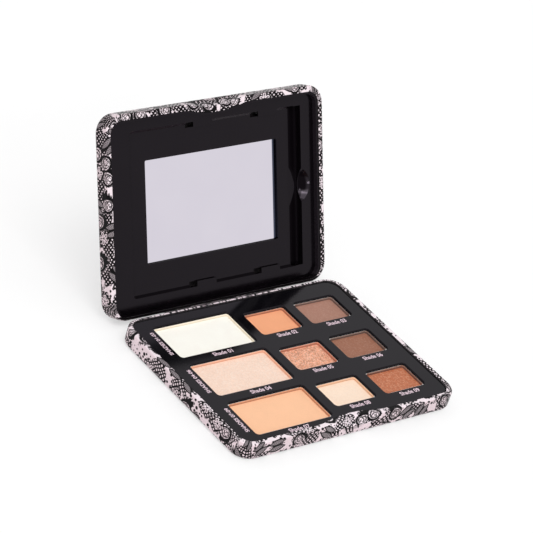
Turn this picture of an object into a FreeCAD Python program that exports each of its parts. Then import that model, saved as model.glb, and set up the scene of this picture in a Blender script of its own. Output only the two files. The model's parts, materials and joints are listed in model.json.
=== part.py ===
import FreeCAD, Part
import math
import os

os.makedirs("parts", exist_ok=True)

V = FreeCAD.Vector

# The printed tin: two drawn shells that meet rim to rim
tin_width = 118.9
tin_depth = 87.0
corner_radius = 8.2
sheet = 0.35
base_height = 7.9
lid_height = 7.9
bottom_radius = 1.9
rim_radius = 0.8
rim_width = 2.6
rim_back_width = 1.35
rim_lip = 1.7
rim_seam = 0.3

# Finger dent pressed into the front wall of both shells
dent_half_width = 18.0
dent_depth = 2.3
dent_blend = 18.0
dent_start = 2.6
rim_band = 1.3

# Hinge along the back wall
hinge_length = 62.0
knuckle_count = 5
knuckle_gap = 0.35
pin_diameter = 0.8
pin_fit = 0.04
pin_overhang = 0.6
leaf_sheet = 0.25
leaf_standoff = 0.08
leaf_height = 3.0
axis_below_rim = 3.6
open_angle = 116.2

# Moulded tray that holds the pans
tray_fit = 0.15
tray_below_rim = 0.6
tray_plate = 0.9
tray_skirt = 0.9
tray_edge = 0.3
pocket_wall = 0.8
pocket_floor = 0.8
pocket_corner = 1.7
rib_width = 1.2
rib_end_gap = 3.0

# Windows of the tray: one wide column and two narrow columns, three rows each
row_count = 3
narrow_columns = 2
tray_left_margin = 9.0
tray_right_margin = 7.65
column_gap = 5.2
wide_window = 41.05
wide_back_margin = 5.4
wide_front_margin = 3.7
wide_row_gap = 4.8
narrow_back_margin = 9.0
narrow_front_margin = 8.25
narrow_row_gap = 9.9

# Pressed powder in shallow metal pans
pan_fit = 0.2
pan_below_tray = 0.75
pan_height = 4.2
pan_sheet = 0.4
pan_foot_radius = 0.7
powder_below_rim = 1.1
powder_edge = 0.3
glue_thickness = 0.25
glue_margin = 2.5

# Moulded liner of the lid
liner_fit = 0.15
liner_wall = 0.9
liner_rise = 0.4
liner_face = 2.7
liner_skin = 0.9
card_left_margin = 11.65
card_front_margin = 5.7
card_back_margin = 6.4
card_corner = 1.2
card_recess = 1.1
card_slope = 1.05
tab_length = 10.6
tab_reach = 2.3
tab_thickness = 0.5
tab_slot_extra = 3.6
tab_centres = (-5.8, 30.1)

# Groove for an applicator along the right side of the liner
groove_right_margin = 8.2
groove_width = 6.3
groove_depth = 3.6
groove_floor = 0.7
groove_round = 1.4
groove_front_margin = 5.95
groove_back_margin = 6.6
snap_reach = 2.6
snap_length = 17.0
scoop_radius = 11.8
scoop_depth = 3.3
scoop_set_in = 3.4
scoop_reach = 4.8

# Mirror in a pocket of the liner
mirror_left_margin = 20.4
mirror_right_margin = 21.4
mirror_front_margin = 19.2
mirror_back_margin = 20.0
mirror_corner = 0.6
mirror_thickness = 1.2
mirror_fit = 0.15
mirror_sunk = 1.0
tape_thickness = 0.2
tape_margin = 4.0

half_width = tin_width / 2
half_depth = tin_depth / 2
knuckle_radius = pin_diameter / 2 + pin_fit + leaf_sheet
axis_y = half_depth + leaf_standoff + knuckle_radius
axis_z = base_height - axis_below_rim
lid_rim = base_height + rim_seam
lid_ceiling = lid_rim + lid_height - sheet
tray_top = base_height - tray_below_rim
pan_top = tray_top - pan_below_tray
pan_base = pan_top - pan_height
pocket_base = pan_base - glue_thickness

# The opening inside the turned-in rims, which the tray and the liner fill
mouth_width = tin_width - 2 * rim_width
mouth_right = mouth_width / 2
mouth_front = rim_width - half_depth
mouth_back = half_depth - rim_back_width
mouth_depth = mouth_back - mouth_front

narrow_room = mouth_width - tray_left_margin - tray_right_margin - wide_window
narrow_window = narrow_room / narrow_columns - column_gap
wide_room = mouth_depth - wide_back_margin - wide_front_margin
wide_window_depth = (wide_room - (row_count - 1) * wide_row_gap) / row_count
narrow_depth_room = mouth_depth - narrow_back_margin - narrow_front_margin
narrow_window_depth = (narrow_depth_room - (row_count - 1) * narrow_row_gap) / row_count

groove_right = mouth_right - groove_right_margin
groove_left = groove_right - groove_width
groove_front = mouth_front + groove_front_margin
groove_back = mouth_back - groove_back_margin
groove_middle = (groove_front + groove_back) / 2
card_left = card_left_margin - mouth_right
card_front = mouth_front + card_front_margin
card_back = mouth_back - card_back_margin
mirror_left = mirror_left_margin - mouth_right
mirror_front = mouth_front + mirror_front_margin
mirror_width = mouth_width - mirror_left_margin - mirror_right_margin
mirror_depth = mouth_depth - mirror_front_margin - mirror_back_margin


def save(name, shape):
    shape.exportStep("parts/" + name + ".step")


def line(p, q):
    return Part.LineSegment(p, q).toShape()


def arc(centre, radius, start, end, z):
    """Arc about a centre (x, y) between two angles in degrees, start and end in either order."""
    points = []
    for angle in (start, (start + end) / 2, end):
        turn = math.radians(angle)
        points.append(V(centre[0] + radius * math.cos(turn), centre[1] + radius * math.sin(turn), z))
    return Part.Arc(*points).toShape()


def tin_outline(inset, back_inset, z, dented):
    """Rounded rectangle of the tin, set in by a distance, with or without the finger dent in front."""
    x = half_width - inset
    y = half_depth - inset
    back = half_depth - back_inset
    r = corner_radius - inset
    sweep = 2 * math.degrees(math.atan(dent_depth / dent_half_width))
    reach = dent_half_width / math.sin(math.radians(sweep))
    blend = dent_blend - inset
    hollow = reach - dent_blend + inset
    join = dent_half_width - blend * math.sin(math.radians(sweep))
    blend_y = -half_depth + dent_blend
    hollow_y = blend_y - reach * math.cos(math.radians(sweep))
    w = dent_half_width
    edges = [line(V(-x + r, -y, z), V(-w, -y, z))]
    if dented:
        edges.append(arc((-w, blend_y), blend, 270, 270 + sweep, z))
        edges.append(arc((0, hollow_y), hollow, 90 + sweep, 90 - sweep, z))
        edges.append(arc((w, blend_y), blend, 270 - sweep, 270, z))
    else:
        edges.append(line(V(-w, -y, z), V(-join, -y, z)))
        edges.append(line(V(-join, -y, z), V(join, -y, z)))
        edges.append(line(V(join, -y, z), V(w, -y, z)))
    edges.append(line(V(w, -y, z), V(x - r, -y, z)))
    edges.append(arc((x - r, -y + r), r, 270, 360, z))
    edges.append(line(V(x, -y + r, z), V(x, back - r, z)))
    edges.append(arc((x - r, back - r), r, 0, 90, z))
    edges.append(line(V(x - r, back, z), V(-x + r, back, z)))
    edges.append(arc((-x + r, back - r), r, 90, 180, z))
    edges.append(line(V(-x, back - r, z), V(-x, -y + r, z)))
    edges.append(arc((-x + r, -y + r), r, 180, 270, z))
    return Part.Wire(edges)


def tin_prism(inset, low, high):
    """Upright block with the dented outline."""
    return Part.Face(tin_outline(inset, inset, low, True)).extrude(V(0, 0, high - low))


def mouth_prism(inset, low, high):
    """Upright block that fills the mouth, set in by a distance from the rim's inner edge."""
    outline = tin_outline(rim_width + inset, rim_back_width + inset, low, True)
    return Part.Face(outline).extrude(V(0, 0, high - low))


def edges_at(shape, z):
    """Edges that lie wholly in a level plane."""
    found = []
    for edge in shape.Edges:
        box = edge.BoundBox
        if abs(box.ZMin - z) < 1e-4 and abs(box.ZMax - z) < 1e-4:
            found.append(edge)
    return found


def tin_block(inset, low, high):
    """Solid of the shell's outline: round foot, wall whose dent fades downwards, rounded rim."""
    band = high - rim_band
    foot = Part.Face(tin_outline(inset, inset, low, False)).extrude(V(0, 0, dent_start - low))
    foot = foot.makeFillet(bottom_radius - inset, edges_at(foot, low))
    sections = [tin_outline(inset, inset, dent_start, False), tin_outline(inset, inset, band, True)]
    wall = Part.makeLoft(sections, True, True)
    cap = tin_prism(inset, band, high)
    cap = cap.makeFillet(rim_radius - inset, edges_at(cap, high))
    return foot.fuse([wall, cap])


def tin_shell(height):
    """Drawn shell standing on its face, with its rim turned in and down."""
    shell = tin_block(0, 0, height).cut(tin_block(sheet, sheet, height - sheet))
    mouth = mouth_prism(0, height - 2 * rim_lip, height + 1)
    lip = mouth_prism(-sheet, height - rim_lip, height - sheet / 2)
    return shell.fuse(lip).cut(mouth).removeSplitter()


def rounded_box(left, front, low, width, depth, height, corner):
    """Upright block with rounded corners, placed by its left front lower corner."""
    block = Part.makeBox(width, depth, height, V(left, front, low))
    uprights = [e for e in block.Edges if e.BoundBox.ZLength > height / 2]
    return block.makeFillet(corner, uprights)


def knuckle_spans(first):
    """Left ends and lengths of every second knuckle."""
    pitch = hinge_length / knuckle_count
    spans = []
    for i in range(first, knuckle_count, 2):
        spans.append((-hinge_length / 2 + i * pitch + knuckle_gap / 2, pitch - knuckle_gap))
    return spans


def knuckle(left, length):
    return Part.makeCylinder(knuckle_radius, length, V(left, axis_y, axis_z), V(1, 0, 0))


def bore_pin(leaf):
    radius = pin_diameter / 2 + pin_fit
    start = V(-hinge_length / 2 - 1, axis_y, axis_z)
    bore = Part.makeCylinder(radius, hinge_length + 2, start, V(1, 0, 0))
    return leaf.cut(bore).removeSplitter()


def base_hinge_leaf():
    """Strip on the outside of the base's back wall, its upper edge curled round the pin."""
    clear = knuckle_radius + knuckle_gap
    low = axis_z - leaf_height
    thick = leaf_standoff + leaf_sheet
    leaf = Part.makeBox(hinge_length, thick, leaf_height - clear, V(-hinge_length / 2, half_depth, low))
    for left, length in knuckle_spans(0):
        web = Part.makeBox(length, thick, leaf_height, V(left, half_depth, low))
        leaf = leaf.fuse([web, knuckle(left, length)])
    return bore_pin(leaf)


def lid_hinge_leaf():
    """Strip on the outside of the lid's back wall, joggled clear of the base and curled round the pin."""
    clear = knuckle_radius + knuckle_gap
    foot = lid_rim + rim_radius
    start = -hinge_length / 2
    thin_y = half_depth + leaf_standoff
    low = axis_z + clear
    pad = Part.makeBox(hinge_length, leaf_standoff + leaf_sheet, leaf_height, V(start, half_depth, foot))
    leaf = pad.fuse(Part.makeBox(hinge_length, leaf_sheet, foot - low + leaf_sheet, V(start, thin_y, low)))
    for left, length in knuckle_spans(1):
        web = Part.makeBox(length, leaf_sheet, foot - axis_z, V(left, thin_y, axis_z))
        leaf = leaf.fuse([web, knuckle(left, length)])
    return bore_pin(leaf)


def hinge_pin():
    length = hinge_length + 2 * pin_overhang
    pin = Part.makeCylinder(pin_diameter / 2, length, V(-length / 2, axis_y, axis_z), V(1, 0, 0))
    ends = [e for e in pin.Edges if isinstance(e.Curve, Part.Circle)]
    return pin.makeChamfer(pin_diameter / 6, ends)


def windows():
    """Left, front, width and depth of each window, wide column first, rows from back to front."""
    places = []
    wide_left = tray_left_margin - mouth_right
    wide_step = wide_window_depth + wide_row_gap
    narrow_step = narrow_window_depth + narrow_row_gap
    for row in range(row_count):
        front = mouth_back - wide_back_margin - wide_window_depth - row * wide_step
        places.append((wide_left, front, wide_window, wide_window_depth))
    for row in range(row_count):
        front = mouth_back - narrow_back_margin - narrow_window_depth - row * narrow_step
        for column in range(narrow_columns):
            left = wide_left + wide_window + column_gap + column * (narrow_window + column_gap)
            places.append((left, front, narrow_window, narrow_window_depth))
    return places


def window_block(place, grow, low, high):
    """Rounded block over one window, grown or shrunk all round."""
    left, front, width, depth = place
    return rounded_box(left - grow, front - grow, low, width + 2 * grow, depth + 2 * grow, high - low,
                       pocket_corner + grow)


def pan_tray():
    """Plate with a skirt down to the tin's floor and one walled pocket for each pan."""
    tray = mouth_prism(tray_fit, sheet, tray_top)
    tray = tray.cut(mouth_prism(tray_fit + tray_skirt, sheet - 1, tray_top - tray_plate))
    rib_end = tray_fit + tray_skirt + dent_depth + rib_end_gap
    rib_run = mouth_depth - 2 * rib_end
    for place in windows()[:row_count + narrow_columns]:
        x = place[0] + place[2] / 2 - rib_width / 2
        rib = Part.makeBox(rib_width, rib_run, pocket_base - sheet, V(x, mouth_front + rib_end, sheet))
        tray = tray.fuse(rib)
    low = pocket_base - pocket_floor
    tray = tray.fuse([window_block(p, pocket_wall, low, tray_top - tray_edge) for p in windows()])
    tray = tray.cut([window_block(p, 0, pocket_base, tray_top + 1) for p in windows()])
    tray = tray.removeSplitter()
    return tray.makeFillet(tray_edge, edges_at(tray, tray_top))


def pan(place):
    """Shallow pressed metal pan, open at the top."""
    outer = window_block(place, -pan_fit, pan_base, pan_top)
    outer = outer.makeFillet(pan_foot_radius, edges_at(outer, pan_base))
    inner = window_block(place, -pan_fit - pan_sheet, pan_base + pan_sheet, pan_top + 1)
    inner = inner.makeFillet(pan_foot_radius - pan_sheet, edges_at(inner, pan_base + pan_sheet))
    return outer.cut(inner)


def powder(place):
    """Pressed cake that fills its pan, with a softened upper edge."""
    top = pan_top - powder_below_rim
    cake = window_block(place, -pan_fit - pan_sheet, pan_base + pan_sheet, top)
    cake = cake.makeFillet(pan_foot_radius - pan_sheet, edges_at(cake, pan_base + pan_sheet))
    return cake.makeFillet(powder_edge, edges_at(cake, top))


def glue_pads():
    """Flat pads of glue between the pans and the floors of their pockets."""
    pads = []
    for left, front, width, depth in windows():
        corner = V(left + glue_margin, front + glue_margin, pocket_base)
        pad_width = width - 2 * glue_margin
        pad_depth = depth - 2 * glue_margin
        pads.append(Part.makeBox(pad_width, pad_depth, glue_thickness, corner))
    return Part.makeCompound(pads)


def lid_liner():
    """Lid insert in its closed place: rim wall, face, card recess, mirror pocket and groove."""
    face = lid_rim + liner_face
    back = face + card_recess + liner_skin
    inside = liner_fit + liner_wall
    liner = mouth_prism(liner_fit, lid_rim + liner_rise, lid_ceiling)
    liner = liner.cut([mouth_prism(inside, lid_rim, face), mouth_prism(inside, back, lid_ceiling + 1)])
    pocket = mirror_pocket(pocket_wall, back - liner_skin, pocket_floor)
    liner = liner.fuse([pocket, groove_trough(face, back)])
    liner = liner.cut([card_space(face), mirror_pocket(0, face, 0), applicator_groove(face)])
    for centre in tab_centres:
        liner = add_tab(liner, face, centre, card_front, 1)
        liner = add_tab(liner, face, centre, card_back, -1)
    return liner.removeSplitter()


def mirror_pocket(wall, low, floor):
    """Block that the mirror and its tape fill, grown by a wall and a floor."""
    grow = mirror_fit + wall
    high = mirror_seat() + mirror_thickness + tape_thickness + floor
    return rounded_box(mirror_left - grow, mirror_front - grow, low, mirror_width + 2 * grow,
                       mirror_depth + 2 * grow, high - low, mirror_corner + wall)


def card_space(face):
    """Shallow recess for cards, open to the groove, with a sloped wall at the hinge side."""
    width = groove_left + groove_width / 2 - card_left
    depth = card_back - card_front
    low = face - card_recess
    block = rounded_box(card_left, card_front, low, width, depth, 2 * card_recess, card_corner)
    deep = [e for e in edges_at(block, face + card_recess) if e.BoundBox.YMin > card_back - sheet]
    return block.makeChamfer(card_slope, deep)


def groove_trough(face, back):
    """Block behind the face from which the groove and the finger scoop are cut."""
    width = groove_width + scoop_reach + 2 * pocket_wall
    run = groove_back - groove_front + 2 * pocket_wall
    low = back - liner_skin
    height = face + groove_depth + groove_floor - low
    return Part.makeBox(width, run, height, V(groove_left - pocket_wall, groove_front - pocket_wall, low))


def applicator_groove(face):
    """Round-bottomed groove with a snap bulge on its left wall and a finger scoop on its right."""
    run = groove_back - groove_front
    groove = Part.makeBox(groove_width, run, groove_depth + 1, V(groove_left, groove_front, face - 1))
    bed = [e for e in edges_at(groove, face + groove_depth) if e.BoundBox.YLength > run / 2]
    groove = groove.makeFillet(groove_round, bed)
    snap_radius = (snap_length ** 2 / 4 + snap_reach ** 2) / (2 * snap_reach)
    snap_centre = V(groove_left + snap_reach - snap_radius, groove_middle, face - 1)
    groove = groove.cut(Part.makeCylinder(snap_radius, groove_depth + 2, snap_centre))
    ball_z = face + scoop_depth - scoop_radius
    ball = Part.makeSphere(scoop_radius, V(groove_right - scoop_set_in, groove_middle, ball_z))
    cube = 2 * scoop_radius
    corner = V(groove_right - scoop_set_in / 2, groove_middle - scoop_radius, ball_z)
    return groove.fuse(ball.common(Part.makeBox(cube, cube, cube, corner)))


def add_tab(liner, face, centre, edge_y, inward):
    """Tongue that reaches over the card recess, with the moulding slot that frees it."""
    front = edge_y if inward > 0 else edge_y - tab_reach
    left = centre - tab_length / 2
    slot_width = tab_length + tab_slot_extra
    slot_height = card_recess + 2 * liner_skin
    slot = Part.makeBox(slot_width, tab_reach, slot_height, V(left - tab_slot_extra, front, face))
    low_y = min(edge_y - inward * tab_reach, edge_y + inward * tab_reach)
    tongue = Part.makeBox(tab_length, 2 * tab_reach, tab_thickness, V(left, low_y, face))
    return liner.cut(slot).fuse(tongue)


def mirror_seat():
    return lid_rim + liner_face + card_recess + mirror_sunk


def mirror_glass():
    return rounded_box(mirror_left, mirror_front, mirror_seat(), mirror_width, mirror_depth,
                       mirror_thickness, mirror_corner)


def mirror_tape():
    low = mirror_seat() + mirror_thickness
    return Part.makeBox(mirror_width - 2 * tape_margin, mirror_depth - 2 * tape_margin, tape_thickness,
                        V(mirror_left + tape_margin, mirror_front + tape_margin, low))


def lid_tin():
    """Upper shell in its closed place, rim down."""
    shell = tin_shell(lid_height)
    shell = shell.mirror(V(0, 0, 0), V(0, 0, 1))
    shell.translate(V(0, 0, lid_rim + lid_height))
    return shell


def opened(shape):
    """Turns a lid piece from its closed place to the open pose about the hinge pin."""
    turned = shape.copy()
    turned.rotate(V(0, axis_y, axis_z), V(1, 0, 0), -open_angle)
    return turned


save("base_tin", tin_shell(base_height))
save("pan_tray", pan_tray())
wide = 0
narrow = 0
for spot in windows():
    if spot[2] == wide_window:
        wide += 1
        label = "large_%d" % wide
    else:
        narrow += 1
        label = "small_%d" % narrow
    save("pan_" + label, pan(spot))
    save("powder_" + label, powder(spot))
save("pan_glue_pads", glue_pads())
save("base_hinge_leaf", base_hinge_leaf())
save("hinge_pin", hinge_pin())
save("lid_hinge_leaf", opened(lid_hinge_leaf()))
save("lid_tin", opened(lid_tin()))
save("lid_liner", opened(lid_liner()))
save("mirror_glass", opened(mirror_glass()))
save("mirror_tape", opened(mirror_tape()))
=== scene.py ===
import json
import math

import bpy
from mathutils import Euler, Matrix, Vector


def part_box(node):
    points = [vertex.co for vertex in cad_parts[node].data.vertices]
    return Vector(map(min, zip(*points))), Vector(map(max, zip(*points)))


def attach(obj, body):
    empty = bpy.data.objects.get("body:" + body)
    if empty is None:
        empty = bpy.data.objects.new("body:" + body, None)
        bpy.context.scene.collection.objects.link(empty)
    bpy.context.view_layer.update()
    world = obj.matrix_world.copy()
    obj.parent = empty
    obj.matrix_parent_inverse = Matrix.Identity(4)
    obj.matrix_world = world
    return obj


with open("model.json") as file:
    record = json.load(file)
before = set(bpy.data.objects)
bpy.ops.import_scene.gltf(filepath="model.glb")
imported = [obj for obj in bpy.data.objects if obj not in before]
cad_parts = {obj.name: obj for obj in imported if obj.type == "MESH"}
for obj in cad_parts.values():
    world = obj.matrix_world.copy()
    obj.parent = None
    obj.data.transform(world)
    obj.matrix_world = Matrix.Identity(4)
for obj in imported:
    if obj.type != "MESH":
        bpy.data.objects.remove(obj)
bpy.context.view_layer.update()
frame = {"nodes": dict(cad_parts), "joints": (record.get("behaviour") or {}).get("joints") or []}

MM = 0.001
nodes = frame["nodes"]
scene = bpy.context.scene

# The camera stands at the front left, looks down on the tray and leans to one side
CAMERA_PLACE = (-0.74719, -0.64585, 0.65182)
CAMERA_TURN = (57.1393, -15.5587, -38.0404)
CAMERA_LENS = 190.63
SENSOR_WIDTH = 36.0
VIEW_NEAR = 0.01
VIEW_FAR = 20.0

# The tin's sizes, in millimetres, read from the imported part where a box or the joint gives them
tin_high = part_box("base_tin")[1]
HALF_WIDTH = tin_high.x / MM
HALF_DEPTH = tin_high.y / MM
TIN_HEIGHT = tin_high.z / MM
CORNER_RADIUS = 8.2
SHUT_HEIGHT = 16.1
HINGE = frame["joints"][0]
HINGE_PLACE = Vector(HINGE["pos_m"])
OPEN_ANGLE = math.radians(HINGE["range_deg"][1])

# Half widths of the soft edge of a printed area and of a printed line, in millimetres
SOFT_EDGE = 0.1
SOFT_LINE = 0.06
# Most of a soft noise lies between these values
NOISE_LOW = 0.3
NOISE_HIGH = 0.7
# Sockets of a colour mix
MIX_FACTOR = 0
MIX_A = 6
MIX_B = 7
MIX_RESULT = 2


class Field:
    """A number that varies over a surface. Arithmetic on fields adds math nodes to their shader."""

    def __init__(self, shader, socket):
        self.shader = shader
        self.socket = socket

    def __add__(self, other):
        return self.shader.calc("ADD", self, other)

    def __sub__(self, other):
        return self.shader.calc("SUBTRACT", self, other)

    def __rsub__(self, other):
        return self.shader.calc("SUBTRACT", other, self)

    def __mul__(self, other):
        return self.shader.calc("MULTIPLY", self, other)

    def __truediv__(self, other):
        return self.shader.calc("DIVIDE", self, other)

    def __abs__(self):
        return self.shader.calc("ABSOLUTE", self)

    def most(self, other):
        return self.shader.calc("MAXIMUM", self, other)

    def above(self, edge):
        return self.shader.calc("GREATER_THAN", self, edge)

    def sign(self):
        return self.shader.calc("SIGN", self)

    def cosine(self):
        return self.shader.calc("COSINE", self)

    def sine(self):
        return self.shader.calc("SINE", self)

    def repeat(self, pitch):
        """Distance from the nearest of a row of lines at this pitch."""
        return self.shader.calc("PINGPONG", self, pitch / 2)

    def ramp(self, low, high, to_low=0.0, to_high=1.0):
        """Smooth step between two values of the field."""
        node = self.shader.add("ShaderNodeMapRange", {"interpolation_type": "SMOOTHSTEP"})
        for name, value in (("Value", self), ("From Min", low), ("From Max", high),
                            ("To Min", to_low), ("To Max", to_high)):
            self.shader.put(node.inputs[name], value)
        return Field(self.shader, node.outputs[0])

    def spread(self, low, high):
        """Soft noise stretched between two values."""
        return self.ramp(NOISE_LOW, NOISE_HIGH, low, high)

    def inside(self, soft=SOFT_EDGE):
        """One where the field is below zero, fading out over a soft edge."""
        return self.ramp(soft, -soft)

    def outside(self, soft=SOFT_EDGE):
        """One where the field is above zero, fading in over a soft edge."""
        return self.ramp(-soft, soft)

    def within(self, size, soft=SOFT_LINE):
        """One where the field lies within a size of zero, fading out over a soft edge."""
        return abs(self).ramp(size + soft, size - soft)


def hypot(a, b):
    return a.shader.calc("SQRT", a * a + b * b)


class Shader:
    """A node material being built, with short calls for its nodes."""

    def __init__(self, name):
        self.material = bpy.data.materials.new(name)
        self.material.use_nodes = True
        self.tree = self.material.node_tree
        self.tree.nodes.clear()
        self.surface = self.tree.nodes.new("ShaderNodeBsdfPrincipled")
        self.output = self.tree.nodes.new("ShaderNodeOutputMaterial")
        self.tree.links.new(self.surface.outputs[0], self.output.inputs["Surface"])

    def put(self, socket, value):
        """Links a socket to a field or another socket, or sets its plain number or colour."""
        if isinstance(value, Field):
            value = value.socket
        if isinstance(value, bpy.types.NodeSocket):
            self.tree.links.new(value, socket)
        elif socket.type == "RGBA":
            socket.default_value = (*value, 1.0)
        else:
            socket.default_value = value

    def set(self, **values):
        for name, value in values.items():
            self.put(self.surface.inputs[name.replace("_", " ")], value)

    def add(self, kind, settings=None, **inputs):
        node = self.tree.nodes.new(kind)
        for name, value in (settings or {}).items():
            setattr(node, name, value)
        for name, value in inputs.items():
            self.put(node.inputs[name.replace("_", " ")], value)
        return node

    def calc(self, operation, *values):
        node = self.add("ShaderNodeMath", {"operation": operation})
        for socket, value in zip(node.inputs, values):
            self.put(socket, value)
        return Field(self, node.outputs[0])

    def place(self):
        """Object coordinates in millimetres."""
        coordinates = self.add("ShaderNodeTexCoord").outputs["Object"]
        node = self.add("ShaderNodeVectorMath", {"operation": "SCALE"}, Vector=coordinates, Scale=1 / MM)
        return node.outputs[0]

    def normal(self):
        return self.add("ShaderNodeTexCoord").outputs["Normal"]

    def split(self, vector):
        node = self.add("ShaderNodeSeparateXYZ", Vector=vector)
        return [Field(self, socket) for socket in node.outputs]

    def join(self, x, y, z=0.0):
        node = self.add("ShaderNodeCombineXYZ", X=x, Y=y, Z=z)
        return node.outputs[0]

    def noise(self, vector, size, detail=2.0, roughness=0.5):
        """Soft noise with features of about this size in millimetres."""
        node = self.add("ShaderNodeTexNoise", Vector=vector, Scale=1 / size, Detail=detail,
                        Roughness=roughness)
        return Field(self, node.outputs["Fac"])

    def cells(self, vector, size, dimensions="3D", randomness=1.0):
        """Scattered cells of about this size in millimetres."""
        return self.add("ShaderNodeTexVoronoi", {"voronoi_dimensions": dimensions}, Vector=vector,
                        Scale=1 / size, Randomness=randomness).outputs

    def mix(self, factor, a, b):
        node = self.add("ShaderNodeMix", {"data_type": "RGBA"})
        self.put(node.inputs[MIX_FACTOR], factor)
        self.put(node.inputs[MIX_A], a)
        self.put(node.inputs[MIX_B], b)
        return node.outputs[MIX_RESULT]

    def bump(self, height, strength, depth):
        """Height field of a real depth in millimetres."""
        node = self.add("ShaderNodeBump", Height=height, Strength=strength, Distance=depth * MM)
        self.set(Normal=node.outputs[0])


def srgb(red, green, blue):
    """Linear colour from screen values of 0 to 255."""
    def linear(value):
        value /= 255
        return value / 12.92 if value <= 0.04045 else ((value + 0.055) / 1.055) ** 2.4
    return (linear(red), linear(green), linear(blue))


def shade(colour, factor):
    return tuple(min(1.0, c * factor) for c in colour)


# Colours of the print, and of the bare lacquer inside the tin
INK = srgb(14, 12, 14)
INK_THIN = srgb(84, 73, 78)
INK_THIN_SHARE = 0.8
GROUND = srgb(217, 197, 203)
GROUND_TONES = (0.95, 1.05)
# Painted highlight: the turned-in rim's ground is paler than the rest
RIM_HIGHLIGHT_GROUND = srgb(236, 222, 228)
LACQUER = srgb(60, 56, 58)
# Varnish: its roughness, and its gloss on the bare ground and over ink
VARNISH_ROUGHNESS = (0.24, 0.34)
VARNISH_GLOSS = (0.75, 0.06)
INK_HEIGHT = 0.3

# Along the hinge the lid's rim is plain black and the base's has a coarse border, this far from the back
HINGE_RIM_WIDTH = 2.5
HINGE_RIM_FADE = 0.5
BORDER_EDGE = (0.5, 0.54)
# The lid is cut from another place of the printed sheet than the base
LID_SHEET_SHIFT = (163.0, 137.0)
# The rim runs inwards from the top of the wall, so each step inwards counts twice on the flat sheet
RIM_FOLD = 2.0
RIM_INSET = (0.1, 0.6)
FACES_INWARD = (-0.3, -0.5)
FACES_UPWARD = (0.4, 0.6)
LEAST_REACH = 0.001

# Net and dots: each tin's share of ground under net, and half the width of its threads in millimetres
BASE_NET = (0.48, 0.5)
LID_NET = (0.63, 0.62)
THIN_THREAD = 0.25
NET_PITCH = 2.1
NET_PULL = 3.0
NET_ZONE = (0.69, 0.72)
NET_ZONE_SHIFT = 0.4
DOT_PITCH = 2.2
DOT_SCATTER = 0.9
DOT_LEAST = 0.25
DOT_MORE = 0.55
DOT_SOFT = 0.07
DOTS_MISSING = 0.2

# The motifs stand about this far apart, and a number from 0 to 1 picks one of the three for each place
MOTIF_PITCH = 9.0
MOTIF_SCATTER = 0.8
FLOWER_UNTIL = 0.33
LEAF_FROM = 0.72

# Flower, with lengths in millimetres
PETALS = 5.0
PETAL_BASE = 1.6
PETAL_REACH = 1.6
PETAL_LINE = 0.3
PETAL_INNER = 0.68
PETAL_INNER_LINE = 0.12
PETAL_INNER_INK = 0.7
EYE_RADIUS = 0.3
EYE_FADE = (0.3, 0.1)
VEIN_WIDTH = 0.25
VEIN_REACH = 0.75
VEIN_INK = 0.9
ROUND_RADIUS = 3.9
ROUND_WAVE = 0.8
ROUND_LINE = 0.35

# Curled drop, with lengths in millimetres
DROP_SIZE = 3.0
DROP_BEND = 0.3
DROP_SWELL = 0.4
SCALLOPS = 9.0
SCALLOP_HEIGHT = 0.6
DROP_AREA_EDGE = 0.7
DROP_LINE_OUTER = 0.5
DROP_LINE_INNER = 0.75
DROP_SECOND_LINE = 1.25
DROP_SECOND_WIDTH = 0.16
CURL_RADIUS = 1.25
CURL_RISE = 0.15
CURL_WIDTH = 0.22
DROP_NET_INK = 0.8

# Leaf pair, with lengths in millimetres
LEAF_OFFSET = 1.6
LEAF_HALF_WIDTH = 1.4
LEAF_TAPER = 17.0
LEAF_LINE = 0.32
STEM_WIDTH = 0.22
STEM_REACH = 4.0
RIB_PITCH = 0.9
RIB_SLANT = 0.8
RIB_WIDTH = 0.13


def closed(s, vector, is_place=True):
    """Vector of the open lid, turned back to where it lies when the lid is shut."""
    centre = HINGE_PLACE / MM if is_place else Vector((0, 0, 0))
    node = s.add("ShaderNodeVectorRotate", {"rotation_type": "X_AXIS"}, Vector=vector, Center=centre,
                 Angle=OPEN_ANGLE)
    return node.outputs[0]


def sheet_place(s, on_lid):
    """Place on the flat printed sheet before it was drawn: the walls fold outwards from the big face.

    Also one on the turned-in rim, one on its stretch along the hinge, and one on the faces inside the tin,
    which carry no print."""
    place = s.place()
    normal = s.normal()
    if on_lid:
        place = closed(s, place)
        normal = closed(s, normal, is_place=False)
    x, y, z = s.split(place)
    normal_x, normal_y, normal_z = s.split(normal)
    if on_lid:
        z = SHUT_HEIGHT - z
        normal_z = 0.0 - normal_z
    over_x = (abs(x) - (HALF_WIDTH - CORNER_RADIUS)).most(0.0)
    over_y = (abs(y) - (HALF_DEPTH - CORNER_RADIUS)).most(0.0)
    reach = hypot(over_x, over_y).most(LEAST_REACH)
    out_x = x.sign() * over_x / reach
    out_y = y.sign() * over_y / reach
    inset = (CORNER_RADIUS - reach).most(0.0)
    upper = z.above(TIN_HEIGHT / 2)
    rise = z + inset * upper * RIM_FOLD
    inner_wall = (normal_x * out_x + normal_y * out_y).ramp(*FACES_INWARD)
    inner_floor = normal_z.ramp(*FACES_UPWARD) * (1.0 - upper)
    inner = inner_wall.most(inner_floor)
    rim = upper * inset.ramp(*RIM_INSET)
    hinge_edge = HALF_DEPTH - HINGE_RIM_WIDTH
    hinge_rim = rim * y.ramp(hinge_edge, hinge_edge + HINGE_RIM_FADE)
    shift_x, shift_y = LID_SHEET_SHIFT if on_lid else (0.0, 0.0)
    return x + out_x * rise + shift_x, y + out_y * rise + shift_y, rim, hinge_rim, inner


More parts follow.
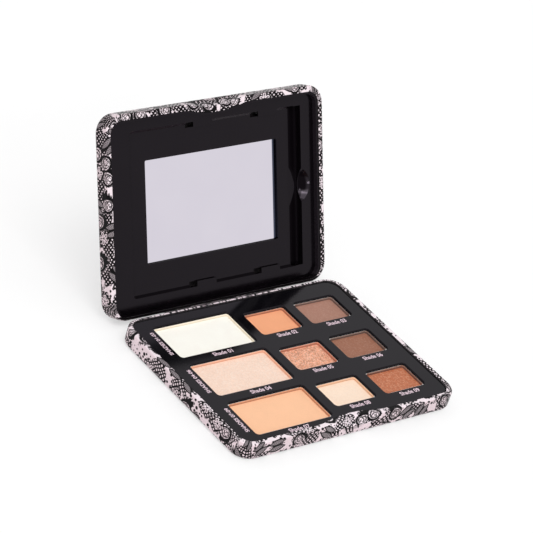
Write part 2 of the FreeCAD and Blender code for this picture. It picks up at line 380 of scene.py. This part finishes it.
def flower(radius, angle, net):
    """Ink and area of a pale five-petal flower on a round of net."""
    petal = abs((angle * (PETALS / 2)).cosine()) * PETAL_REACH + PETAL_BASE
    past_petal = radius - petal
    past_round = radius - abs((angle * PETALS).sine()) * ROUND_WAVE - ROUND_RADIUS
    vein = ((angle * PETALS).cosine() - 1.0).within(VEIN_WIDTH) * (radius - petal * VEIN_REACH).inside()
    ink = (net * (1.0 - past_petal.inside())).most(past_petal.within(PETAL_LINE))
    ink = ink.most((radius - EYE_RADIUS).ramp(*EYE_FADE)).most(past_round.within(ROUND_LINE))
    ink = ink.most(vein * VEIN_INK)
    ink = ink.most((radius - petal * PETAL_INNER).within(PETAL_INNER_LINE) * PETAL_INNER_INK)
    return ink, past_round.inside()


def curled_drop(radius, angle, net):
    """Ink and area of a curled drop with a thick scalloped edge and net inside."""
    past_drop = radius * ((angle + radius * DROP_BEND).cosine() * DROP_SWELL + 1.0) - DROP_SIZE
    past_scallop = past_drop - abs((angle * SCALLOPS).sine()) * SCALLOP_HEIGHT
    edge = (past_scallop - DROP_LINE_OUTER).inside() * (past_drop + DROP_LINE_INNER).outside()
    curl = (radius - CURL_RADIUS - angle * CURL_RISE).within(CURL_WIDTH)
    ink = edge.most((past_drop + DROP_SECOND_LINE).within(DROP_SECOND_WIDTH))
    ink = ink.most(curl).most(net * DROP_NET_INK)
    return ink, (past_scallop - DROP_AREA_EDGE).inside()


def leaf_pair(along, across):
    """Ink and area of a pair of ribbed leaves on a stem."""
    off_midrib = abs(abs(across) - LEAF_OFFSET)
    past_leaf = off_midrib - (1.0 - along * along / LEAF_TAPER) * LEAF_HALF_WIDTH
    area = past_leaf.inside()
    ribs = (along + off_midrib * RIB_SLANT).repeat(RIB_PITCH).within(RIB_WIDTH)
    stem = across.within(STEM_WIDTH) * along.within(STEM_REACH)
    return past_leaf.within(LEAF_LINE).most(stem).most(ribs * area), area


def lace(name, on_lid, net_share, net_weight):
    """Black lace printed on pale pink varnished tin: flowers, scalloped drops, leaves, dots and net.

    The net covers about this share of the ground, in threads of this half width."""
    s = Shader(name)
    u, v, rim, hinge_rim, inner = sheet_place(s, on_lid)
    sheet = s.join(u, v)

    # Ground between the motifs: square net in some places, loose dots in the others
    pull = s.noise(sheet, size=5.0, detail=1.0) * NET_PULL
    line_a = (u + v + pull).repeat(NET_PITCH)
    line_b = (u - v + pull).repeat(NET_PITCH)
    thin_net = line_a.within(THIN_THREAD).most(line_b.within(THIN_THREAD))
    net = line_a.within(net_weight).most(line_b.within(net_weight))
    zone_edges = (edge - NET_ZONE_SHIFT * net_share for edge in NET_ZONE)
    zone = s.noise(sheet, size=9.0, detail=1.0).ramp(*zone_edges)
    spot = s.cells(sheet, DOT_PITCH, "2D", DOT_SCATTER)
    dot_size, dot_pick = s.split(spot["Color"])[:2]
    from_dot = Field(s, spot["Distance"]) * DOT_PITCH
    dots = (from_dot - (dot_size * DOT_MORE + DOT_LEAST)).inside(DOT_SOFT) * dot_pick.above(DOTS_MISSING)
    behind = (net * zone).most(dots * (1.0 - zone))

    # One motif to each cell of the sheet, turned at random
    cell = s.cells(sheet, MOTIF_PITCH, "2D", MOTIF_SCATTER)
    centre_u, centre_v = s.split(cell["Position"])[:2]
    turn, pick = s.split(cell["Color"])[:2]
    turn = turn * (2 * math.pi)
    off_u = u - centre_u
    off_v = v - centre_v
    along = off_u * turn.cosine() + off_v * turn.sine()
    across = off_v * turn.cosine() - off_u * turn.sine()
    radius = hypot(off_u, off_v)
    angle = s.calc("ARCTAN2", across, along)
    flower_ink, flower_area = flower(radius, angle, net)
    drop_ink, drop_area = curled_drop(radius, angle, thin_net)
    leaf_ink, leaf_area = leaf_pair(along, across)
    is_flower = 1.0 - pick.above(FLOWER_UNTIL)
    is_leaf = pick.above(LEAF_FROM)
    is_drop = (1.0 - is_flower) * (1.0 - is_leaf)
    flower_area = flower_area * is_flower
    leaf_area = leaf_area * is_leaf
    drop_area = drop_area * is_drop
    motif = (flower_ink * flower_area).most(leaf_ink * is_leaf).most(drop_ink * drop_area)
    ink = motif.most(behind * (1.0 - flower_area.most(leaf_area).most(drop_area)))
    if on_lid:
        ink = ink.most(hinge_rim)
    else:
        border = s.noise(s.join(u, 0.0), size=1.5).ramp(*BORDER_EDGE)
        ink = ink * (1.0 - hinge_rim) + border * hinge_rim

    dull, fresh = GROUND_TONES
    ground = s.mix(s.noise(sheet, size=5.0, detail=3.0), shade(GROUND, dull), shade(GROUND, fresh))
    # Painted highlight: paler ground on the turned-in rim
    ground = s.mix(rim, ground, RIM_HIGHLIGHT_GROUND)
    ground = s.mix(leaf_area * INK_THIN_SHARE, ground, INK_THIN)
    s.set(Base_Color=s.mix(inner, s.mix(ink, ground, INK), LACQUER),
          Roughness=s.noise(sheet, size=0.5).spread(*VARNISH_ROUGHNESS),
          Specular_IOR_Level=ink.ramp(0.0, 1.0, *VARNISH_GLOSS))
    s.bump(s.noise(s.place(), size=0.6) + ink * INK_HEIGHT, strength=0.15, depth=0.02)
    return s.material


# Black mouldings
BLACK_SHEEN = (0.97, 0.84, 1.0)
FLOW_SHARE = 0.6
GRAIN_SHARE = 0.4
TRAY_BLACK = (0.0026, 0.0024, 0.0034)
TRAY_TONES = (0.8, 1.25)
TRAY_ROUGHNESS = (0.088, 0.115)
TRAY_GLOSS = 0.165
LINER_BLACK_DEEP = (0.0024, 0.0016, 0.0024)
LINER_BLACK_PALE = (0.0036, 0.0026, 0.0036)
# Painted light: a lighter black on the skirt and along the card recess's edge
LINER_PAINTED_LIGHT = (0.017, 0.013, 0.017)
LINER_ROUGHNESS = (0.14, 0.19)
LINER_GLOSS = 0.16
# Share of gloss taken away where shade or a dark reflection is painted
LINER_PAINTED_SHADE = 0.88
SCOOP_GLOSS = 0.12
# Painted highlight: far more gloss at the scoop's tip than plastic has, for a bright glint
SCOOP_TIP_HIGHLIGHT = 1.5
SCOOP_POLISH = 0.3

# Places on the liner when the lid is shut, in millimetres, with depths counted from its face. A pair gives
# where an effect starts and where it is full, or the slope of the surface there if it is named FACES
LINER_FACE = 10.9
LINER_BACK = 41.0
LINER_BACK_FADE = 0.3
# A jagged band along the back of the liner is painted dark reflection, with jags this tall
LINER_REFLECTION_JAGS = 1.6
LINER_STEP = 0.2
GROOVE_RIGHT = 48.65
GROOVE_LEFT = (GROOVE_RIGHT - 8, GROOVE_RIGHT - 6)
GROOVE_DEPTH = (0.8, 2.2)
CARD_RIGHT = (GROOVE_RIGHT - 7, GROOVE_RIGHT - 8)
CARD_DEPTH = (0.01, 0.05)
CARD_WALL_FACES = (-0.2, -0.4)
CARD_EDGE_FACES = (0.3, 0.6)
SKIRT_DEPTH = (0.0, -0.1)
SKIRT_FACES = (-0.3, -0.6)
SCOOP_DEPTH = (0.05, 0.2)
SCOOP_BOWL_DEPTH = (0.5, 1.3)
SCOOP_TIP_FROM = (2.2, 4.2)


def moulding_marks(s, place):
    """Fine grain and wide flow marks of a black moulding, and both together for its roughness."""
    grain = s.noise(place, size=0.25, detail=3.0)
    flow = s.noise(place, size=14.0)
    return grain, flow, flow * FLOW_SHARE + grain * GRAIN_SHARE


def tray_plastic(name):
    """Black moulding of the base: faint flow marks, fine grain."""
    s = Shader(name)
    grain, flow, marks = moulding_marks(s, s.place())
    dark, light = TRAY_TONES
    s.set(Base_Color=s.mix(flow, shade(TRAY_BLACK, dark), shade(TRAY_BLACK, light)),
          Roughness=marks.spread(*TRAY_ROUGHNESS), Specular_IOR_Level=TRAY_GLOSS,
          Specular_Tint=BLACK_SHEEN)
    s.bump(grain, strength=0.04, depth=0.01)
    return s.material


def liner_plastic(name):
    """Satin black moulding of the lid: a groove painted dark as shade, and a polished finger scoop beside
    it.
    """
    s = Shader(name)
    place = s.place()
    x, y, z = s.split(closed(s, place))
    normal_x, normal_y = s.split(closed(s, s.normal(), is_place=False))[:2]
    depth = z - LINER_FACE
    grain, flow, marks = moulding_marks(s, place)

    # Painted shade: the gloss goes in the groove, on two walls and in the scoop's bowl, so they render
    # dark
    in_groove = x.ramp(GROOVE_RIGHT, GROOVE_RIGHT - LINER_STEP) * x.ramp(*GROOVE_LEFT)
    groove = depth.ramp(*GROOVE_DEPTH) * in_groove
    card_wall_shade = normal_y.ramp(*CARD_WALL_FACES) * depth.ramp(*CARD_DEPTH)
    # Painted reflection: a jagged band along the back loses its gloss and renders black
    reflection_jags = s.noise(place, size=1.6) * LINER_REFLECTION_JAGS
    back_wall_reflection = (y + reflection_jags).ramp(LINER_BACK, LINER_BACK + LINER_BACK_FADE)
    scoop = depth.ramp(*SCOOP_DEPTH) * x.ramp(GROOVE_RIGHT, GROOVE_RIGHT + LINER_STEP)
    # Painted highlight: the scoop's tip gets extra gloss for a bright glint
    tip = scoop * y.ramp(*SCOOP_TIP_FROM)
    bowl = scoop * depth.ramp(*SCOOP_BOWL_DEPTH) * (1.0 - tip)
    painted_shade = groove.most(card_wall_shade).most(back_wall_reflection).most(bowl) * LINER_PAINTED_SHADE
    gloss = scoop * SCOOP_GLOSS + tip * SCOOP_TIP_HIGHLIGHT + LINER_GLOSS

    # Painted light: the black is lighter on the skirt on the right and along the edge of the card recess
    skirt = normal_x.ramp(*SKIRT_FACES) * depth.ramp(*SKIRT_DEPTH)
    card_edge_light = normal_y.ramp(*CARD_EDGE_FACES) * depth.ramp(*CARD_DEPTH) * x.ramp(*CARD_RIGHT)
    black = s.mix(flow, LINER_BLACK_DEEP, LINER_BLACK_PALE)
    s.set(Base_Color=s.mix(skirt.most(card_edge_light), black, LINER_PAINTED_LIGHT),
          Roughness=marks.spread(*LINER_ROUGHNESS) * (1.0 - scoop * SCOOP_POLISH),
          Specular_IOR_Level=(1.0 - painted_shade) * gloss, Specular_Tint=BLACK_SHEEN)
    s.bump(grain, strength=0.04, depth=0.01)
    return s.material


# Pressed powder
FLAKE_SIZE = 0.46
POWDER_GRAIN_SHARE = 0.75
POWDER_CLOUD_SHARE = 0.25
POWDER_TONE_RANGE = (0.25, 0.75)
POWDER_TONES = (0.94, 1.06)
POWDER_ROUGHNESS = (0.8, 0.9)
SHIMMER_SMOOTHING = 0.3
FLAKE_SHADOW_TONE = 0.42
PEARL_POWER = 0.5
# How much each effect of the flakes grows with the shimmer and with the glitter
FLAKE_SHADOW = (0.14, 0.7)
FLAKE_PEARL = (0.45, 0.9)
FLAKE_METAL = (0.15, 0.4)
FLAKE_HEIGHT = (0.4, 1.2)


def powder(name, colour, shimmer, glitter):
    """Pressed powder: fine grain, pressing marks, and as much shimmer or glitter as the shade has."""
    def amount(weights):
        return weights[0] * shimmer + weights[1] * glitter

    s = Shader(name)
    place = s.place()
    grain = s.noise(place, size=0.3, detail=4.0, roughness=0.7)
    cloud = s.noise(place, size=6.0)
    flake, flake_shadow = s.split(s.cells(place, FLAKE_SIZE)["Color"])[:2]
    sparkle = flake * flake * flake
    tone = (grain * POWDER_GRAIN_SHARE + cloud * POWDER_CLOUD_SHARE).ramp(*POWDER_TONE_RANGE)
    dark, light = POWDER_TONES
    ground = s.mix(tone, shade(colour, dark), shade(colour, light))
    ground = s.mix(flake_shadow * amount(FLAKE_SHADOW), ground, shade(colour, FLAKE_SHADOW_TONE))
    pearl = tuple(c ** PEARL_POWER for c in colour)
    smooth, rough = (value - SHIMMER_SMOOTHING * shimmer for value in POWDER_ROUGHNESS)
    s.set(Base_Color=s.mix(sparkle * min(1.0, amount(FLAKE_PEARL)), ground, pearl),
          Roughness=tone.ramp(0.0, 1.0, smooth, rough),
          Metallic=sparkle * amount(FLAKE_METAL))
    s.bump(grain + flake * amount(FLAKE_HEIGHT), strength=0.3, depth=0.04)
    return s.material


# The thin film of powder on a pan's wall reaches this far down, in millimetres
FILM_DEPTH = 0.55
FILM_FADE = 0.1
# Their colour is partly painted: the tint deepens the powder's colour as bounce light, the crease film
# darker as shade
# Films of powder: the most they cover, and how cover and tint start and grow with a paler powder
WALL_DUST_AND_BOUNCE = (1.0, (0.42, 1.25), (0.4, 2.2))
CREASE_DUST_AND_SHADE = (0.9, (0.25, 1.15), (1.0, 1.6))
WALL_FACES = (0.5, 0.3)
WALL_MARKS = (0.2, 0.6)
WALL_COVER = (0.75, 0.95)
PAN_METAL_DULL = (0.74, 0.71, 0.69)
PAN_METAL_BRIGHT = (0.88, 0.85, 0.83)
PAN_ROUGHNESS = (0.2, 0.8)
METAL_TONE = 0.85
METAL_ROUGHNESS_SPREAD = (0.8, 1.2)
HINGE_METAL = (0.6, 0.6, 0.6)
HINGE_ROUGHNESS = 0.3


def drawing_marks(s, place):
    """Fine marks of pressed sheet metal."""
    return s.noise(place, size=0.4, detail=4.0, roughness=0.6)


def dust_with_painted_light(dust, most, cover, tint):
    """Colour of a film of this powder, deepened and darkened as painted bounce light and shade."""
    pale = min(dust)
    strength = min(most, cover[0] + cover[1] * pale)
    return tuple(strength * c ** (tint[0] + tint[1] * pale) for c in dust)


def pan_metal(name, dust, top):
    """Pressed pan: bright rim, a thin powder film with painted bounce light on the wall, a painted shade
    line above the cake.
    """
    s = Shader(name)
    place = s.place()
    z = s.split(place)[2]
    normal_z = s.split(s.normal())[2]
    marks = drawing_marks(s, place)
    wall = abs(normal_z).ramp(*WALL_FACES) * marks.ramp(*WALL_MARKS, *WALL_COVER)
    bright = s.mix(marks, PAN_METAL_DULL, PAN_METAL_BRIGHT)
    film_end = top - FILM_DEPTH
    # Painted bounce light on the wall, and a darker line of painted shade just above the cake
    film = s.mix(z.ramp(film_end - FILM_FADE, film_end + FILM_FADE),
                 dust_with_painted_light(dust, *CREASE_DUST_AND_SHADE), dust_with_painted_light(dust, *WALL_DUST_AND_BOUNCE))
    s.set(Base_Color=s.mix(wall, bright, film), Metallic=1.0 - wall,
          Roughness=wall.ramp(0.0, 1.0, *PAN_ROUGHNESS))
    s.bump(marks, strength=0.05, depth=0.01)
    return s.material


def metal(name, colour, roughness):
    """Pressed sheet metal with fine drawing marks."""
    s = Shader(name)
    marks = drawing_marks(s, s.place())
    s.set(Base_Color=s.mix(marks, shade(colour, METAL_TONE), colour),
          Roughness=marks.spread(*(roughness * factor for factor in METAL_ROUGHNESS_SPREAD)),
          Metallic=1.0)
    s.bump(marks, strength=0.05, depth=0.01)
    return s.material


GLUE = srgb(225, 215, 190)
TAPE = srgb(235, 235, 230)
PAD_TONE = 0.85
PAD_ROUGHNESS = (0.5, 0.75)


def pad(name, colour):
    """Soft matt pad: glue or foam tape, with small pores."""
    s = Shader(name)
    pores = s.noise(s.place(), size=0.5, detail=3.0)
    s.set(Base_Color=s.mix(pores, shade(colour, PAD_TONE), colour), Roughness=pores.spread(*PAD_ROUGHNESS))
    s.bump(pores, strength=0.2, depth=0.05)
    return s.material


SILVER_DULL = srgb(212, 207, 218)
SILVER_BRIGHT = srgb(217, 212, 222)
SILVER_ROUGHNESS = (0.01, 0.03)
# Painted reflection: a blue-grey strip along the mirror's right edge, the pocket wall seen in the glass
# The strip along the mirror's right edge starts between these distances from it, in millimetres
EDGE_REFLECTION_COLOUR = srgb(68, 72, 88)
EDGE_REFLECTION_FROM = (1.65, 1.4)


def mirror(name):
    """Silvered glass, faint cool haze, and a darker blue-grey strip of painted reflection along its right
    edge.
    """
    s = Shader(name)
    place = s.place()
    x = s.split(place)[0]
    haze = s.noise(place, size=20.0)
    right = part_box("mirror_glass")[1].x / MM
    # Painted reflection along the right edge
    strip = x.ramp(*(right - width for width in EDGE_REFLECTION_FROM))
    silver = s.mix(haze, SILVER_DULL, SILVER_BRIGHT)
    s.set(Base_Color=s.mix(strip, silver, EDGE_REFLECTION_COLOUR), Roughness=haze.spread(*SILVER_ROUGHNESS), Metallic=1.0)
    return s.material


def dress(material, *names):
    for name in names:
        mesh = nodes[name].data
        mesh.materials.clear()
        mesh.materials.append(material)


# Each powder's shade, and how much it shimmers or glitters
POWDERS = {
    "large_1": ("powder_cream", srgb(254, 249, 240), 0.0, 0.0),
    "large_2": ("powder_pale_pink", srgb(252, 218, 197), 1.4, 0.0),
    "large_3": ("powder_peach", srgb(246, 193, 154), 0.0, 0.0),
    "small_1": ("powder_apricot", srgb(243, 169, 126), 0.0, 0.0),
    "small_2": ("powder_taupe", srgb(166, 119, 101), 0.5, 0.0),
    "small_3": ("powder_rose_copper", srgb(250, 172, 135), 0.5, 1.3),
    "small_4": ("powder_brown", srgb(150, 96, 72), 0.6, 0.05),
    "small_5": ("powder_champagne", srgb(249, 223, 200), 0.7, 0.0),
    "small_6": ("powder_rust", srgb(188, 103, 64), 0.7, 0.4),
}


def dress_nodes():
    dress(lace("lace_print", False, *BASE_NET), "base_tin")
    dress(lace("lace_print_lid", True, *LID_NET), "lid_tin")
    dress(tray_plastic("black_tray"), "pan_tray")
    dress(liner_plastic("black_liner"), "lid_liner")
    hinge_metal = metal("hinge_metal", HINGE_METAL, HINGE_ROUGHNESS)
    dress(hinge_metal, "base_hinge_leaf", "lid_hinge_leaf", "hinge_pin")
    dress(pad("glue", GLUE), "pan_glue_pads")
    dress(pad("tape", TAPE), "mirror_tape")
    dress(mirror("mirror"), "mirror_glass")
    for key, (name, colour, shimmer, glitter) in POWDERS.items():
        dress(powder(name, colour, shimmer, glitter), "powder_" + key)
        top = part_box("pan_" + key)[1].z / MM
        dress(pan_metal("pan_" + key + "_metal", colour, top), "pan_" + key)


# Labels on the tray, sizes in millimetres: one in front of each pan, one for each row beside its wide pan
LABEL_SIZE = 3.0
ROW_LABEL_SIZE = 2.55
LABEL_GAP = 1.0
ROW_LABEL_GAP = 1.4
ROW_LABEL_TURN = math.radians(90)
PRINT_THICKNESS = 0.01
PRINT_BOLDNESS = 0.05
LABEL_DULL = srgb(222, 196, 208)
LABEL_BRIGHT = srgb(240, 216, 226)
LABEL_ROUGHNESS = (0.4, 0.55)
ROWS = (
    ("large_1", "small_1", "small_2"),
    ("large_2", "small_3", "small_4"),
    ("large_3", "small_5", "small_6"),
)


def label_ink():
    """Pale pink print, a little patchy."""
    s = Shader("label_ink")
    patch = s.noise(s.place(), size=0.5, detail=3.0)
    s.set(Base_Color=s.mix(patch, LABEL_DULL, LABEL_BRIGHT), Roughness=patch.spread(*LABEL_ROUGHNESS))
    return s.material


def add_label(name, text, size, place, turn, ink):
    """Flat printed text, centred along its line, laid on the tray."""
    data = bpy.data.curves.new(name + "_text", "FONT")
    data.body = text
    data.size = size * MM
    data.offset = PRINT_BOLDNESS * MM
    data.align_x = "CENTER"
    data.align_y = "TOP"
    data.extrude = PRINT_THICKNESS * MM / 2
    text_object = bpy.data.objects.new(name + "_text", data)
    scene.collection.objects.link(text_object)
    bpy.context.view_layer.update()
    depsgraph = bpy.context.evaluated_depsgraph_get()
    mesh = bpy.data.meshes.new_from_object(text_object.evaluated_get(depsgraph))
    bpy.data.objects.remove(text_object)
    mesh.materials.clear()
    mesh.materials.append(ink)
    label = bpy.data.objects.new(name, mesh)
    scene.collection.objects.link(label)
    label.location = place
    label.rotation_euler = (0, 0, turn)
    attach(label, "base")


def add_labels():
    ink = label_ink()
    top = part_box("pan_tray")[1].z + PRINT_THICKNESS * MM / 2
    number = 0
    for row, keys in enumerate(ROWS):
        first = number + 1
        for key in keys:
            number += 1
            low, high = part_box("pan_" + key)
            place = ((low.x + high.x) / 2, low.y - LABEL_GAP * MM, top)
            add_label("number_%02d" % number, "Shade %02d" % number, LABEL_SIZE, place, 0.0, ink)
        low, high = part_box("pan_" + keys[0])
        place = (low.x - (ROW_LABEL_GAP + ROW_LABEL_SIZE) * MM, (low.y + high.y) / 2, top)
        text = "SHADES %02d-%02d" % (first, number)
        add_label("row_%d" % (row + 1), text, ROW_LABEL_SIZE, place, ROW_LABEL_TURN, ink)


def add_camera():
    data = bpy.data.cameras.new("camera")
    data.sensor_width = SENSOR_WIDTH
    data.lens = CAMERA_LENS
    data.clip_start = VIEW_NEAR
    data.clip_end = VIEW_FAR
    camera = bpy.data.objects.new("camera", data)
    camera.location = CAMERA_PLACE
    camera.rotation_euler = Euler([math.radians(angle) for angle in CAMERA_TURN])
    scene.collection.objects.link(camera)
    scene.camera = camera


# Pale floor, its sizes in metres
FLOOR_HALF = 3.0
FLOOR_DULL = (0.95, 0.95, 0.95)
FLOOR_BRIGHT = (0.97, 0.97, 0.97)
FLOOR_ROUGHNESS = 0.9
FLOOR_GLOSS = 0.1
# Share of plain white that the camera and reflections see in the floor, over the shadows on it
FLOOR_WHITE = 0.55
WHITE = (1.0, 1.0, 1.0)
# Strength of the sky as light on the part
SKY_LIGHT = 0.84
# Each lamp's name, place and width in metres, and power in watts
LAMPS = (
    ("key", (-1.0, -1.5, 3.55), 2.1, 44.0),
    ("low", (-0.92, -1.17, 0.18), 0.2, 1.4),
    ("front", (-0.06, -1.2, 0.95), 0.15, 1.1),
)


def seen_ray(tree, seen, unseen=0.0):
    """One value for rays from the camera, reflections and glass, another for the light on surfaces."""
    path = tree.nodes.new("ShaderNodeLightPath")
    total = path.outputs["Is Camera Ray"]
    for name in ("Is Glossy Ray", "Is Transmission Ray"):
        either = tree.nodes.new("ShaderNodeMath")
        either.operation = "MAXIMUM"
        tree.links.new(total, either.inputs[0])
        tree.links.new(path.outputs[name], either.inputs[1])
        total = either.outputs[0]
    value = tree.nodes.new("ShaderNodeMapRange")
    tree.links.new(total, value.inputs["Value"])
    value.inputs["To Min"].default_value = unseen
    value.inputs["To Max"].default_value = seen
    return value.outputs[0]


def add_floor():
    mesh = bpy.data.meshes.new("floor")
    corners = [(x * FLOOR_HALF, y * FLOOR_HALF, 0) for x, y in ((-1, -1), (1, -1), (1, 1), (-1, 1))]
    mesh.from_pydata(corners, [], [(0, 1, 2, 3)])
    floor = bpy.data.objects.new("floor", mesh)
    scene.collection.objects.link(floor)
    s = Shader("floor")
    s.set(Base_Color=s.mix(s.noise(s.place(), size=300.0), FLOOR_DULL, FLOOR_BRIGHT),
          Roughness=FLOOR_ROUGHNESS, Specular_IOR_Level=FLOOR_GLOSS)
    white = s.add("ShaderNodeEmission", Color=WHITE, Strength=1.0)
    blend = s.add("ShaderNodeMixShader", Fac=seen_ray(s.tree, FLOOR_WHITE))
    s.tree.links.new(s.surface.outputs[0], blend.inputs[1])
    s.tree.links.new(white.outputs[0], blend.inputs[2])
    s.tree.links.new(blend.outputs[0], s.output.inputs["Surface"])
    mesh.materials.append(s.material)


def add_lamp(name, place, size, power):
    """Square soft lamp that faces the middle of the underside."""
    data = bpy.data.lights.new(name, "AREA")
    data.size = size
    data.energy = power
    lamp = bpy.data.objects.new(name, data)
    lamp.location = place
    lamp.rotation_euler = (-lamp.location).to_track_quat("-Z", "Y").to_euler()
    scene.collection.objects.link(lamp)


def light_world():
    """White studio: even soft light, and plain white for the camera and for reflections."""
    world = bpy.data.worlds.new("studio")
    scene.world = world
    world.use_nodes = True
    tree = world.node_tree
    background = tree.nodes["Background"]
    background.inputs["Color"].default_value = (*WHITE, 1.0)
    tree.links.new(seen_ray(tree, 1.0, SKY_LIGHT), background.inputs["Strength"])


scene.view_settings.view_transform = "Standard"
dress_nodes()
add_labels()
add_camera()
add_floor()
for lamp_values in LAMPS:
    add_lamp(*lamp_values)
light_world()
